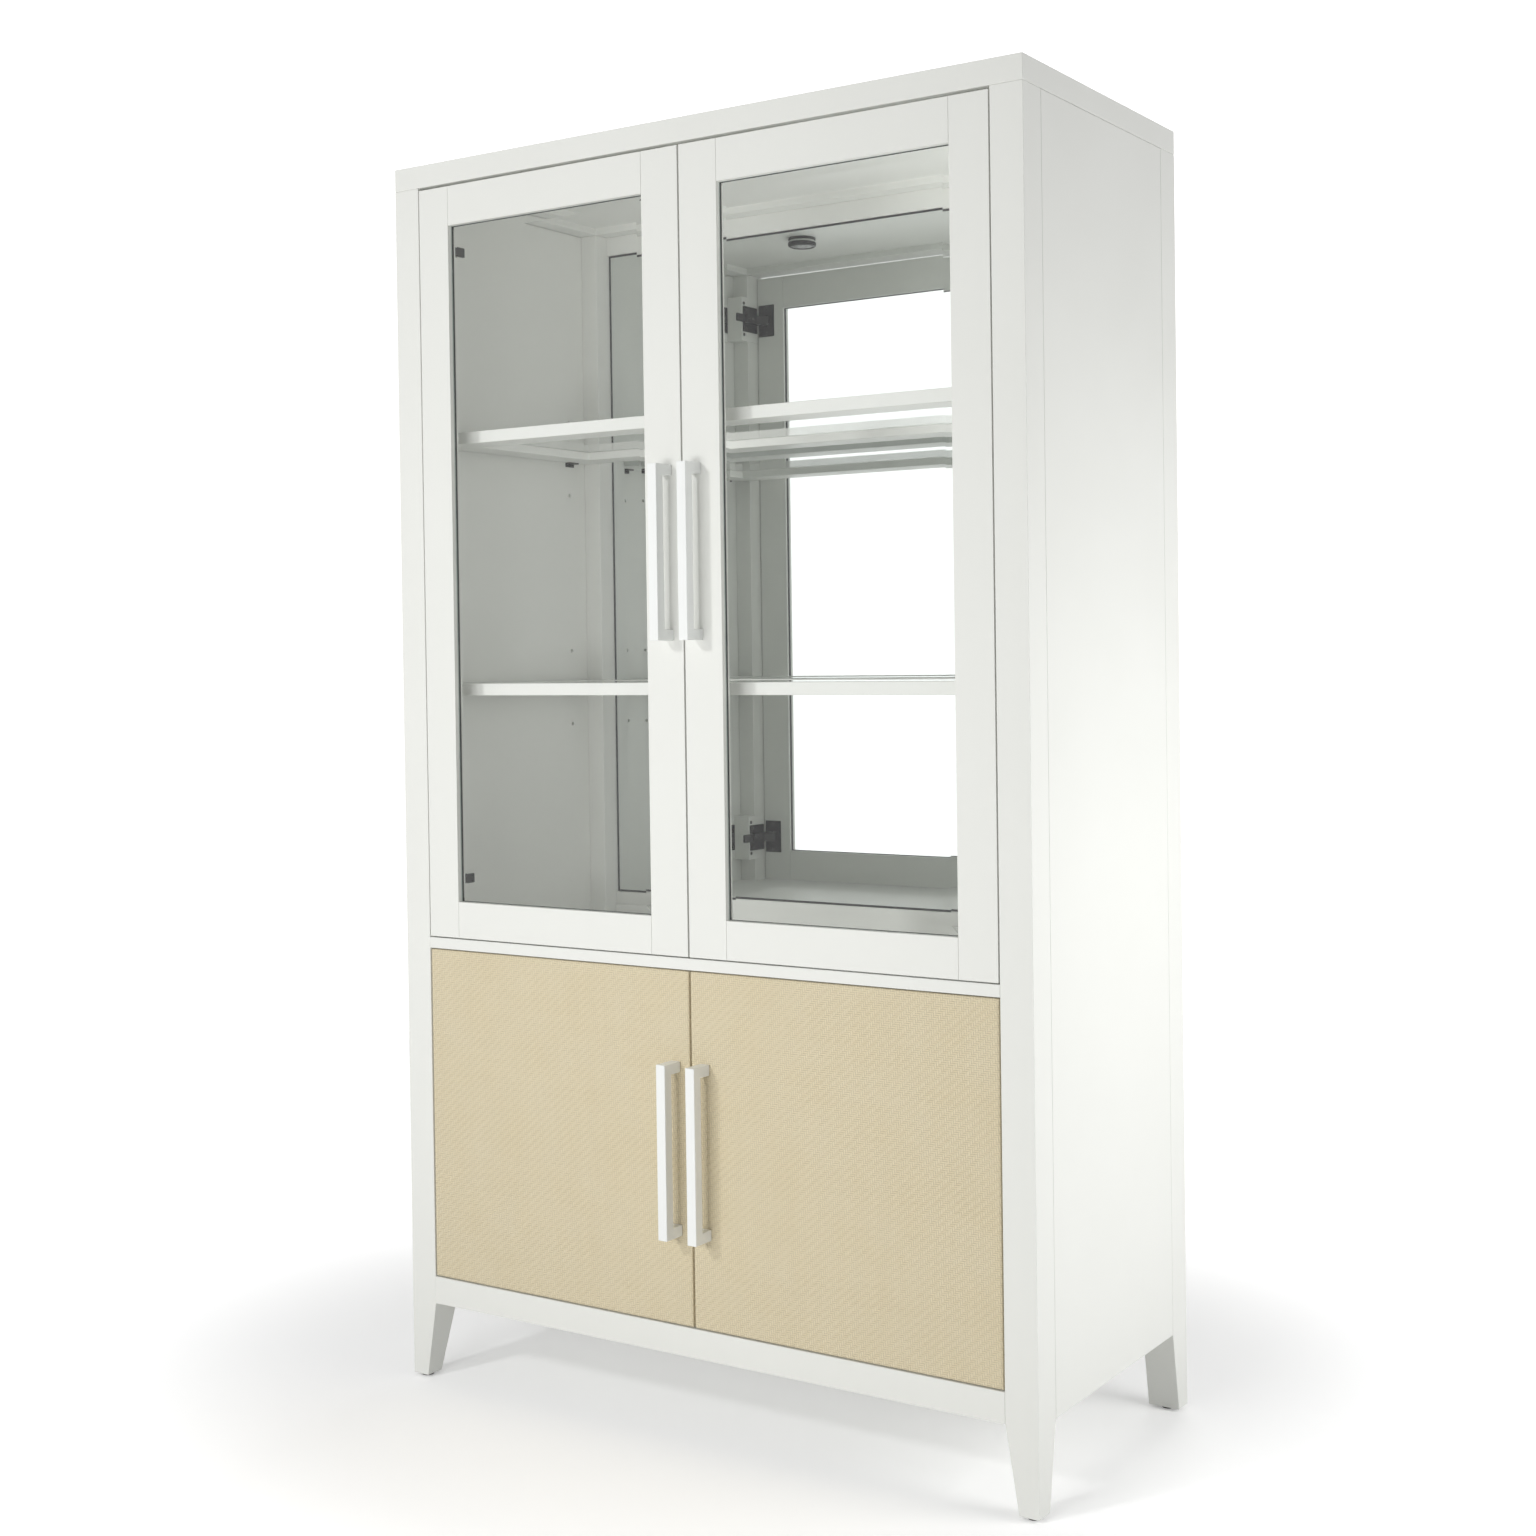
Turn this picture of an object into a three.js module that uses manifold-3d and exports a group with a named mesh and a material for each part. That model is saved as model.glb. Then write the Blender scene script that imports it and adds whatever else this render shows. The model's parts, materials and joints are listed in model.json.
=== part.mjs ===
// Curio cabinet: a tall display cupboard with two glazed doors over two woven-faced doors.
// Millimetres, +Z up, +X to the right as one faces the doors, -Y towards the viewer.
// The origin lies on the floor, midway across the cabinet and midway between the back
// of the posts and the front of the pulls.

import * as THREE from 'three';
import { mergeVertices } from 'three/addons/utils/BufferGeometryUtils.js';
import Module from 'manifold-3d';

const wasm = await Module();
wasm.setup();

// ---------------------------------------------------------------- driving dimensions

// Carcass, without the pulls
const height = 2032;
const width = 1194;
const depth = 508;

// Crown board and the shallow pocket that forms the ceiling
const crownHeight = 37.4;
const crownRecess = 12.4;

// Corner posts, which run down into the tapered legs
const postSize = 53;
const footSize = 32.5;
const glideHeight = 4.5;
const glideRadius = 10;
const roundSides = 24; // flats that stand for a full circle

// Boards
const boardThickness = 18;
const underside = 129.6; // floor to the lower edge of the apron and side panels
const apronHeight = 45.4;
const lowerOpening = 553; // apron to the underside of the middle board

// Back
const backThickness = 12;
const mirrorThickness = 4;
const backRailThickness = 9.5;
const backTopRailHeight = 33.6;
const backBottomRailHeight = 25;

// Doors
const doorThickness = 20;
const doorGap = 2; // around each leaf
const crownGap = 4.6; // between the crown and the glazed doors
const meetingGap = 3; // between a pair of leaves
const hingeStileWidth = 64;
const meetingStileWidth = 70.5;
const topRailWidth = 65;
const bottomRailWidth = 60;
const glassThickness = 5;
const glassEdge = 2; // thickness left at the rim of the bevelled pane
const glassBevel = 20;
const glassSetback = 6; // pane behind the front of the frame
const glassClearance = 0.3; // between the pane and its frame

// Pulls: a square bar on two square posts
const pullBar = 17;
const pullLength = 270;
const pullProjection = 39;
const pullFromCentre = 28;

// Shelves: a wooden frame with a glass insert, on four pins
const shelfThickness = 20;
const shelfRises = { lower: 403, upper: 825 }; // above the display floor
const shelfRail = 60;
const shelfSideClearance = 2;
const shelfEndClearance = 1;
const shelfLedge = 10;
const shelfRebate = 6;
const shelfGlassThickness = 5;
const shelfGlassClearance = 1;
const pinFromPost = 43; // centre of a pin row, away from the face of the nearer post
const pinLength = 10;
const pinWidth = 12;
const pinThickness = 3;

// Ceiling lights
const puckRadius = 27;
const puckHeight = 17;
const puckFromCentre = 280;
const puckFromFront = 238;
const puckLens = 3;

// Concealed hinges
const hingeInset = 88; // centre of a hinge, away from the end of its leaf
const cupRadius = 17.2;
const cupEdge = 5; // wood left between the cup bore and the edge of the leaf
const cupDepth = 11.5;
const cupWall = 5.5; // rim that the tip of the arm closes against
const cupFloor = 1.5;
const cupClearance = 0.3;
const flangeThickness = 1.5;
const flangeRim = 1.8; // beside the cup
const flangeHeight = 65;
const plateThickness = 2;
const plateHeight = 52;
const armThickness = 10;
const armLap = 1; // of the corners of its tip over the rim of the cup
const armTipDepth = 6;
const armBend = 20;
const blockHeight = 90;
const blockDepth = 24; // behind the post
const blockLap = 3; // over the inner face of the post
const blockGap = 2; // behind the door
const blockPlateInset = 3;
const postPlateInset = 2.5;

// ---------------------------------------------------------------- derived places

const yFront = pullProjection / 2 - depth / 2;
const yBack = yFront + depth;
const outerHalf = width / 2;
const openingHalf = outerHalf - postSize;
const wallHalf = outerHalf - boardThickness;
const frontPostBack = yFront + postSize;
const rearPostFront = yBack - postSize;
const backPanelFront = yBack - backThickness;
const mirrorFront = backPanelFront - mirrorThickness;
const backRailFront = backPanelFront - backRailThickness;
const crownBottom = height - crownHeight;
const ceiling = crownBottom + crownRecess;
const baseTop = underside + apronHeight;
const middleBottom = baseTop + lowerOpening;
const displayFloor = middleBottom + boardThickness;
const leafEdge = openingHalf - doorGap;
const leafWidth = leafEdge - meetingGap / 2;
const doorBack = yFront + doorThickness;
const flangeBack = doorBack + flangeThickness;
const cupBoreRadius = cupRadius + cupClearance;
const cupFromEdge = cupEdge + cupBoreRadius;
const cupMouth = cupRadius - cupWall;
const armHalf = (cupMouth + armLap) / Math.SQRT2;

const cabinet = new THREE.Group();

// ---------------------------------------------------------------- materials

const finish = (color, roughness, metalness) => () =>
  new THREE.MeshStandardMaterial({ color, roughness, metalness });

const paint = finish(0xe4e4de, 0.55, 0);
const raffia = finish(0xd9cdb0, 0.9, 0);
const powderCoat = finish(0xdee2e2, 0.45, 0.1);
const hingeSteel = finish(0x9a9b9a, 0.4, 0.9);
const silvering = finish(0xd5dad9, 0.03, 1);
const darkPlastic = finish(0x3b3a38, 0.7, 0);
const frosted = finish(0xd9dad6, 0.5, 0);

function glazing() {
  const material = finish(0xd4e0dc, 0.05, 0)();
  material.transparent = true;
  material.opacity = 0.35;
  return material;
}

// ---------------------------------------------------------------- helpers

function add(parent, name, material, geometry, x = 0, y = 0, z = 0) {
  const mesh = new THREE.Mesh(geometry, material());
  mesh.name = name;
  mesh.position.set(x, y, z);
  parent.add(mesh);
}

// A box given by its two ends along each axis
function boxBetween([x0, x1], [y0, y1], [z0, z1]) {
  const box = new THREE.BoxGeometry(x1 - x0, y1 - y0, z1 - z0);
  return box.translate((x0 + x1) / 2, (y0 + y1) / 2, (z0 + z1) / 2);
}

// A range measured outwards from the centre, on the side of the sign given
const onSide = (side, a, b) => (side > 0 ? [a, b] : [-b, -a]);

const middle = (half) => [-half, half];

// A flat outline pushed up along Z
function extrudeUp(points, rise) {
  const outline = new THREE.Shape(points.map(([x, y]) => new THREE.Vector2(x, y)));
  return new THREE.ExtrudeGeometry(outline, { depth: rise, bevelEnabled: false });
}

function toSolid(geometry) {
  const bare = geometry.clone();
  bare.deleteAttribute('normal');
  bare.deleteAttribute('uv');
  const merged = mergeVertices(bare);
  return new wasm.Manifold(new wasm.Mesh({
    numProp: 3,
    vertProperties: new Float32Array(merged.attributes.position.array),
    triVerts: new Uint32Array(merged.index.array),
  }));
}

function fromSolid(solid) {
  const { vertProperties, triVerts } = solid.getMesh();
  const geometry = new THREE.BufferGeometry();
  geometry.setAttribute('position', new THREE.BufferAttribute(vertProperties, 3));
  geometry.setIndex(new THREE.BufferAttribute(triVerts, 1));
  geometry.computeVertexNormals();
  return geometry;
}

const cut = (body, tools) =>
  fromSolid(tools.reduce((solid, tool) => solid.subtract(toSolid(tool)), toSolid(body)));

const join = (body, others) =>
  fromSolid(others.reduce((solid, other) => solid.add(toSolid(other)), toSolid(body)));

// ---------------------------------------------------------------- crown

const pocket = boxBetween(
  middle(openingHalf),
  [frontPostBack, rearPostFront],
  [crownBottom - 1, ceiling],
);
add(cabinet, 'top_panel', paint, cut(
  boxBetween(middle(outerHalf), [yFront, yBack], [crownBottom, height]),
  [pocket],
));

// ---------------------------------------------------------------- posts and glides

// A square post whose lowest stretch draws in to the foot. Each inner face leans by its
// own amount: insetX across the cabinet and insetY along its depth.
function postGeometry(side, end, insetX, insetY) {
  const rise = crownBottom - glideHeight;
  const post = new THREE.BoxGeometry(postSize, postSize, rise, 1, 1, 2);
  const position = post.attributes.position;
  for (let i = 0; i < position.count; i += 1) {
    const z = position.getZ(i);
    if (Math.abs(z) < 1) {
      position.setZ(i, underside - glideHeight - rise / 2);
    }
    if (z < -1 && Math.sign(position.getX(i)) === -side) {
      position.setX(i, position.getX(i) + side * insetX);
    }
    if (z < -1 && Math.sign(position.getY(i)) === -end) {
      position.setY(i, position.getY(i) + end * insetY);
    }
  }
  return post.translate(0, 0, glideHeight + rise / 2);
}

const inset = postSize - footSize;
for (const [sideName, side] of [['left', -1], ['right', 1]]) {
  for (const [endName, end, insetX] of [['front', -1, inset], ['rear', 1, 0]]) {
    const x = side * (outerHalf - postSize / 2);
    const y = (end < 0 ? yFront : yBack) - end * (postSize / 2);
    const footX = side * (outerHalf - (postSize - insetX) / 2);
    const footY = (end < 0 ? yFront : yBack) - end * (footSize / 2);
    add(cabinet, `${endName}_${sideName}_post`, paint,
      postGeometry(side, end, insetX, inset), x, y, 0);
    add(cabinet, `${endName}_${sideName}_glide`, darkPlastic,
      new THREE.CylinderGeometry(glideRadius, glideRadius, glideHeight, roundSides).rotateX(Math.PI / 2),
      footX, footY, glideHeight / 2);
  }
}

// ---------------------------------------------------------------- side panels with shelf pins

const pinRows = [frontPostBack + pinFromPost, rearPostFront - pinFromPost];
const shelfBottoms = Object.values(shelfRises).map((rise) => displayFloor + rise);

for (const [sideName, side] of [['left', -1], ['right', 1]]) {
  const panel = boxBetween(
    onSide(side, wallHalf, outerHalf),
    [frontPostBack, rearPostFront],
    [underside, crownBottom],
  );
  const pins = shelfBottoms.flatMap((z) => pinRows.map((y) => boxBetween(
    onSide(side, wallHalf - pinLength, wallHalf + boardThickness / 2),
    [y - pinWidth / 2, y + pinWidth / 2],
    [z - pinThickness, z],
  )));
  add(cabinet, `${sideName}_side_panel`, paint, join(panel, pins));
}

// ---------------------------------------------------------------- floors, apron and back

// A board that fills the plan of the carcass, notched round the four posts
function notchedBoard(front) {
  return extrudeUp([
    [-openingHalf, front],
    [openingHalf, front],
    [openingHalf, frontPostBack],
    [wallHalf, frontPostBack],
    [wallHalf, rearPostFront],
    [openingHalf, rearPostFront],
    [openingHalf, backPanelFront],
    [-openingHalf, backPanelFront],
    [-openingHalf, rearPostFront],
    [-wallHalf, rearPostFront],
    [-wallHalf, frontPostBack],
    [-openingHalf, frontPostBack],
  ], boardThickness);
}

add(cabinet, 'display_floor', paint, notchedBoard(yFront), 0, 0, middleBottom);
add(cabinet, 'base_floor', paint, notchedBoard(yFront + boardThickness),
  0, 0, baseTop - boardThickness);
add(cabinet, 'front_apron', paint,
  boxBetween(middle(openingHalf), [yFront, yFront + boardThickness], [underside, baseTop]));
add(cabinet, 'back_panel', paint,
  boxBetween(middle(openingHalf), [backPanelFront, yBack], [underside, crownBottom]));

const mirrorBottom = displayFloor + backBottomRailHeight;
const mirrorTop = crownBottom - backTopRailHeight;
add(cabinet, 'back_top_rail', paint,
  boxBetween(middle(openingHalf), [backRailFront, backPanelFront], [mirrorTop, crownBottom]));
add(cabinet, 'back_bottom_rail', paint,
  boxBetween(middle(openingHalf), [backRailFront, backPanelFront], [displayFloor, mirrorBottom]));
add(cabinet, 'mirror_panel', silvering,
  boxBetween(middle(openingHalf), [mirrorFront, backPanelFront], [mirrorBottom, mirrorTop]));

// ---------------------------------------------------------------- shelves

const shelfHalf = wallHalf - shelfSideClearance;
const shelfFront = frontPostBack + shelfEndClearance;
const shelfBack = rearPostFront - shelfEndClearance;

// The plan of the shelf drawn in by the same amount on all four sides
const shelfSlab = (drawIn, bottom, top) => boxBetween(
  middle(shelfHalf - drawIn),
  [shelfFront + drawIn, shelfBack - drawIn],
  [bottom, top],
);

for (const [level, rise] of Object.entries(shelfRises)) {
  const bottom = displayFloor + rise;
  const top = bottom + shelfThickness;
  const ledge = top - shelfRebate;
  add(cabinet, `${level}_shelf_frame`, paint, cut(shelfSlab(0, bottom, top), [
    shelfSlab(shelfRail, bottom - 1, top + 1),
    shelfSlab(shelfRail - shelfLedge, ledge, top + 1),
  ]));
  add(cabinet, `${level}_shelf_glass`, glazing, shelfSlab(
    shelfRail - shelfLedge + shelfGlassClearance,
    ledge,
    ledge + shelfGlassThickness,
  ));
}

// ---------------------------------------------------------------- ceiling lights

// A shallow drum whose lens stands a little proud of its rim
const puckOutline = [
  [0, 0],
  [puckRadius - puckLens * 2, 0],
  [puckRadius - puckLens, puckLens / 2],
  [puckRadius, puckLens],
  [puckRadius, puckHeight],
  [0, puckHeight],
].map(([r, z]) => new THREE.Vector2(r, z));

for (const [sideName, side] of [['left', -1], ['right', 1]]) {
  add(cabinet, `${sideName}_puck_light`, frosted,
    new THREE.LatheGeometry(puckOutline, roundSides).rotateX(Math.PI / 2),
    side * puckFromCentre, yFront + puckFromFront, ceiling - puckHeight);
}

// ---------------------------------------------------------------- hinges

// Half of a concealed hinge: the plate and cranked arm that stay on the carcass. mountX is
// the face that the plate is screwed to, and rear is the far end of the plate.
function hingeArm(side, mountX, rear) {
  const tip = flangeBack + cupClearance;
  const face = mountX - plateThickness;
  const cupX = leafEdge - cupFromEdge;
  const outline = [
    [face, rear],
    [face - armThickness, rear],
    [face - armThickness, tip + armBend],
    [cupX - armHalf, tip + armTipDepth],
    [cupX - armHalf, tip],
    [cupX + armHalf, tip],
    [face, tip + armTipDepth],
  ].map(([x, y]) => [side * x, y]);
  const arm = extrudeUp(outline, armHalf * 2).translate(0, 0, -armHalf);
  const plate = boxBetween(
    onSide(side, face - plateThickness / 2, mountX),
    [tip + armTipDepth, rear],
    middle(plateHeight / 2),
  );
  return join(arm, [plate]);
}

// The white block that packs a hinge out to the inner face of the post
function hingeBlock(side) {
  const inner = openingHalf - blockLap;
  const outline = [
    [inner, doorBack + blockGap],
    [openingHalf, doorBack + blockGap],
    [openingHalf, frontPostBack],
    [wallHalf, frontPostBack],
    [wallHalf, frontPostBack + blockDepth],
    [inner, frontPostBack + blockDepth],
  ].map(([x, y]) => [side * x, y]);
  return extrudeUp(outline, blockHeight).translate(0, 0, -blockHeight / 2);
}

// The cup half of a hinge, drawn with the back of the door at y = 0
function hingeCup() {
  const drum = new THREE.LatheGeometry([
    [0, -cupDepth],
    [cupRadius, -cupDepth],
    [cupRadius, flangeThickness],
    [cupMouth, flangeThickness],
    [cupMouth, cupFloor - cupDepth],
    [0, cupFloor - cupDepth],
  ].map(([r, y]) => new THREE.Vector2(r, y)), roundSides);
  const hole = cupRadius - cupWall / 2;
  const flange = cut(
    boxBetween(middle(cupRadius + flangeRim), [0, flangeThickness], middle(flangeHeight / 2)),
    [new THREE.CylinderGeometry(hole, hole, flangeThickness * 4, roundSides)],
  );
  return join(drum, [flange]);
}

function cupBore(side, z) {
  const bore = new THREE.CylinderGeometry(cupBoreRadius, cupBoreRadius, cupDepth * 2, roundSides);
  return bore.translate(-side * cupFromEdge, doorThickness - cupClearance, z);
}

// ---------------------------------------------------------------- doors

function pullGeometry() {
  const half = pullLength / 2;
  const gap = pullProjection - pullBar;
  const outline = [
    [0, -half],
    [-pullProjection, -half],
    [-pullProjection, half],
    [0, half],
    [0, half - pullBar],
    [-gap, half - pullBar],
    [-gap, pullBar - half],
    [0, pullBar - half],
  ];
  const turned = new THREE.Matrix4().makeBasis(
    new THREE.Vector3(0, 1, 0),
    new THREE.Vector3(0, 0, 1),
    new THREE.Vector3(1, 0, 0),
  );
  return extrudeUp(outline, pullBar).translate(0, 0, -pullBar / 2).applyMatrix4(turned);
}

// A pane whose front face draws in all round to leave a wide bevel
function bevelledPane(paneWidth, paneHeight) {
  const pane = new THREE.BoxGeometry(paneWidth, glassThickness, paneHeight, 1, 2, 1);
  const position = pane.attributes.position;
  for (let i = 0; i < position.count; i += 1) {
    const y = position.getY(i);
    if (Math.abs(y) < 0.1) {
      position.setY(i, glassThickness / 2 - glassEdge);
    }
    if (y < -1) {
      position.setX(i, position.getX(i) - Math.sign(position.getX(i)) * glassBevel);
      position.setZ(i, position.getZ(i) - Math.sign(position.getZ(i)) * glassBevel);
    }
  }
  return pane;
}

// A leaf hangs in a group of its own, with its outer front edge on the hinge line. Inside
// the group, positions run from that edge towards the middle of the cabinet.
function leafGroup(side, bottom) {
  const leaf = new THREE.Group();
  leaf.position.set(side * leafEdge, yFront, bottom);
  cabinet.add(leaf);
  return leaf;
}

function addPull(leaf, name, side, leafHeight) {
  add(leaf, `${name}_pull`, powderCoat, pullGeometry(),
    side * (pullFromCentre - leafEdge), 0, leafHeight / 2);
}

function glazedLeaf(leaf, name, side, leafHeight, hingeHeights) {
  const through = [0, doorThickness];
  const glassFrom = hingeStileWidth;
  const glassTo = leafWidth - meetingStileWidth;
  const glassTop = leafHeight - topRailWidth;
  const inward = (a, b) => onSide(-side, a, b);

  add(leaf, `${name}_hinge_stile`, paint, cut(
    boxBetween(inward(0, glassFrom), through, [0, leafHeight]),
    hingeHeights.map((z) => cupBore(side, z)),
  ));
  add(leaf, `${name}_meeting_stile`, paint,
    boxBetween(inward(glassTo, leafWidth), through, [0, leafHeight]));
  add(leaf, `${name}_bottom_rail`, paint,
    boxBetween(inward(glassFrom, glassTo), through, [0, bottomRailWidth]));
  add(leaf, `${name}_top_rail`, paint,
    boxBetween(inward(glassFrom, glassTo), through, [glassTop, leafHeight]));
  add(leaf, `${name}_glass`, glazing,
    bevelledPane(
      glassTo - glassFrom - glassClearance * 2,
      glassTop - bottomRailWidth - glassClearance * 2,
    ),
    -side * (glassFrom + glassTo) / 2,
    glassSetback + glassThickness / 2,
    (bottomRailWidth + glassTop) / 2);
}

function wovenLeaf(leaf, name, side, leafHeight, hingeHeights) {
  add(leaf, `${name}_door_panel`, raffia, cut(
    boxBetween(onSide(-side, 0, leafWidth), [0, doorThickness], [0, leafHeight]),
    hingeHeights.map((z) => cupBore(side, z)),
  ));
}

const levels = [
  {
    name: 'upper',
    bottom: displayFloor + doorGap,
    top: crownBottom - crownGap,
    buildLeaf: glazedLeaf,
    hasBlocks: true,
  },
  {
    name: 'lower',
    bottom: baseTop + doorGap,
    top: middleBottom - doorGap,
    buildLeaf: wovenLeaf,
    hasBlocks: false,
  },
];

for (const { name: level, bottom, top, buildLeaf, hasBlocks } of levels) {
  const leafHeight = top - bottom;
  const hingeHeights = [hingeInset, leafHeight - hingeInset];
  for (const [sideName, side] of [['left', -1], ['right', 1]]) {
    const name = `${level}_${sideName}`;
    const leaf = leafGroup(side, bottom);
    buildLeaf(leaf, name, side, leafHeight, hingeHeights);
    addPull(leaf, name, side, leafHeight);

    for (const [i, place] of ['bottom', 'top'].entries()) {
      const z = hingeHeights[i];
      add(leaf, `${name}_hinge_cup_${place}`, hingeSteel, hingeCup(),
        -side * cupFromEdge, doorThickness, z);
      const mountX = hasBlocks ? openingHalf - blockLap : openingHalf;
      const rear = hasBlocks
        ? frontPostBack + blockDepth - blockPlateInset
        : frontPostBack - postPlateInset;
      add(cabinet, `${name}_hinge_arm_${place}`, hingeSteel,
        hingeArm(side, mountX, rear), 0, 0, bottom + z);
      if (hasBlocks) {
        add(cabinet, `${name}_hinge_block_${place}`, paint, hingeBlock(side), 0, 0, bottom + z);
      }
    }
  }
}

export default cabinet;
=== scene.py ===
import json
import math

import bmesh
import bpy
from mathutils import Matrix, Vector, noise

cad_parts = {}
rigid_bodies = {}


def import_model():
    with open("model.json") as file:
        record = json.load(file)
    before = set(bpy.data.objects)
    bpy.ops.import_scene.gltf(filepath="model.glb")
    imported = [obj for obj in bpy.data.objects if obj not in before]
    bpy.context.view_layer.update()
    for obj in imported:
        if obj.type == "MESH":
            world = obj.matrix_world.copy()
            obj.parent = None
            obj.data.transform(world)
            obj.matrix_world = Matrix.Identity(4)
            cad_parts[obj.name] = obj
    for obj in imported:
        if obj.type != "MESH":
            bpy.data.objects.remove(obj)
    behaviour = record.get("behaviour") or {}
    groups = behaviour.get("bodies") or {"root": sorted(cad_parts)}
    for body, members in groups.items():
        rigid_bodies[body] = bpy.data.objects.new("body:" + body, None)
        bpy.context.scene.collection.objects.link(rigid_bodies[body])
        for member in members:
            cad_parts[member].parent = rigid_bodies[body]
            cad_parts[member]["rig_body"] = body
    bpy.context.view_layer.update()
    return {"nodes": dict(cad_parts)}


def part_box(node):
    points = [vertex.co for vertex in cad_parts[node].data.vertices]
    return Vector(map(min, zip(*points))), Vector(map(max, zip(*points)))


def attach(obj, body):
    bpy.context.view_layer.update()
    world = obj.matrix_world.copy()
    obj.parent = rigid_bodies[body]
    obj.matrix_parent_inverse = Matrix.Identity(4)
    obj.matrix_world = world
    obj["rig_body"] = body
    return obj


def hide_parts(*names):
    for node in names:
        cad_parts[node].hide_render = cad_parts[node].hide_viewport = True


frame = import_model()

MM = 0.001

# ---------------------------------------------------------------- camera
# The cabinet is seen from a little right of its front right corner, at chest height and
# nearly level, with a moderate lens that is shifted so that the uprights stay upright.

camera_place = Vector((1.9038, -2.6924, 1.2050))
camera_yaw = math.radians(31.39)
camera_pitch = math.radians(-0.86)
camera_roll = math.radians(-0.726)

forward = Vector((
    -math.sin(camera_yaw) * math.cos(camera_pitch),
    math.cos(camera_yaw) * math.cos(camera_pitch),
    math.sin(camera_pitch),
))
level_right = Vector((math.cos(camera_yaw), math.sin(camera_yaw), 0))
level_up = level_right.cross(forward)
right = math.cos(camera_roll) * level_right + math.sin(camera_roll) * level_up
up = math.cos(camera_roll) * level_up - math.sin(camera_roll) * level_right

lens = bpy.data.cameras.new("camera")
lens.sensor_width = 36
lens.lens = 47.31
lens.shift_x = -0.0926
lens.shift_y = -0.0528
lens.clip_end = 100
camera = bpy.data.objects.new("camera", lens)
bpy.context.scene.collection.objects.link(camera)
camera.matrix_world = Matrix((
    (right.x, up.x, -forward.x, camera_place.x),
    (right.y, up.y, -forward.y, camera_place.y),
    (right.z, up.z, -forward.z, camera_place.z),
    (0, 0, 0, 1),
))
bpy.context.scene.camera = camera

# ---------------------------------------------------------------- studio
# A white cyclorama under soft boxes: one above the left shoulder, which throws the shadows
# of the pulls, one each before the front, beside and behind, and two faint ones inside.

bpy.context.scene.view_settings.view_transform = "Standard"


def node(tree, kind, inputs=None, **settings):
    """A node with its settings, and each input either linked to a socket or given a value."""
    made = tree.nodes.new(kind)
    for name, value in settings.items():
        setattr(made, name, value)
    for key, value in (inputs or {}).items():
        if isinstance(value, bpy.types.NodeSocket):
            tree.links.new(value, made.inputs[key])
        else:
            made.inputs[key].default_value = value
    return made


def calc(tree, operation, *values):
    """The result of one Math node."""
    return node(tree, "ShaderNodeMath", dict(enumerate(values)), operation=operation).outputs[0]


def new_material(name, **values):
    """A material whose plain values stand on the shader's own sockets."""
    material = bpy.data.materials.new(name)
    material.use_nodes = True
    shader = material.node_tree.nodes["Principled BSDF"]
    for key, value in values.items():
        shader.inputs[key.replace("_", " ")].default_value = value
    return material, material.node_tree, shader


backdrop_glow = 1.4
backdrop_light = 0.315

world = bpy.data.worlds.new("studio")
world.use_nodes = True
bpy.context.scene.world = world
sky = world.node_tree
sky.nodes.clear()
seen = node(sky, "ShaderNodeBackground", {"Color": (1, 1, 1, 1), "Strength": backdrop_glow})
cast = node(sky, "ShaderNodeBackground", {"Color": (1, 1, 1, 1), "Strength": backdrop_light})
ray = node(sky, "ShaderNodeLightPath")
either = node(sky, "ShaderNodeMixShader", {
    0: ray.outputs["Is Diffuse Ray"], 1: seen.outputs[0], 2: cast.outputs[0]})
node(sky, "ShaderNodeOutputWorld", {0: either.outputs[0]})


def soft_box(name, place, target, size, power):
    """A rectangular lamp that points at its target and isn't seen itself."""
    lamp = bpy.data.lights.new(name, "AREA")
    lamp.shape = "RECTANGLE"
    lamp.size, lamp.size_y = size
    lamp.energy = power
    holder = bpy.data.objects.new(name, lamp)
    bpy.context.scene.collection.objects.link(holder)
    aim = (Vector(target) - Vector(place)).to_track_quat("-Z", "Y")
    holder.matrix_world = Matrix.Translation(place) @ aim.to_matrix().to_4x4()
    holder.visible_camera = False
    holder.visible_glossy = False
    holder.visible_transmission = False


soft_box("key_box", (-1.3, -3.4, 2.6), (0, -0.2, 1.0), (0.4, 0.4), 38)
soft_box("front_box", (0.0, -2.35, 1.0), (0, -0.2, 1.0), (1.2, 0.5), 18)
soft_box("side_box", (1.9, 0.15, 0.88), (0.6, 0.05, 0.97), (0.8, 0.7), 13.5)
soft_box("back_box", (-0.5, 3.2, 1.5), (0, 0.3, 1.0), (1.6, 1.2), 18)
soft_box("inner_fill", (0.565, 0.02, 1.37), (0, 0.02, 1.37), (0.36, 1.15), 1.6)
soft_box("ceiling_fill", (0.2, 0.0, 1.72), (0.2, 0.0, 2.0), (0.6, 0.3), 0.36)

floor_reach = 3.6
floor_sides = 64
# The floor glows for camera rays only, less near the cabinet than beyond: painted light, with a
# painted shadow under and round the cabinet.
glow_in_painted_shadow, glow_beyond = 0.23, 0.68
painted_shadow_reach = (1.05, 0.85, 1)

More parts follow.
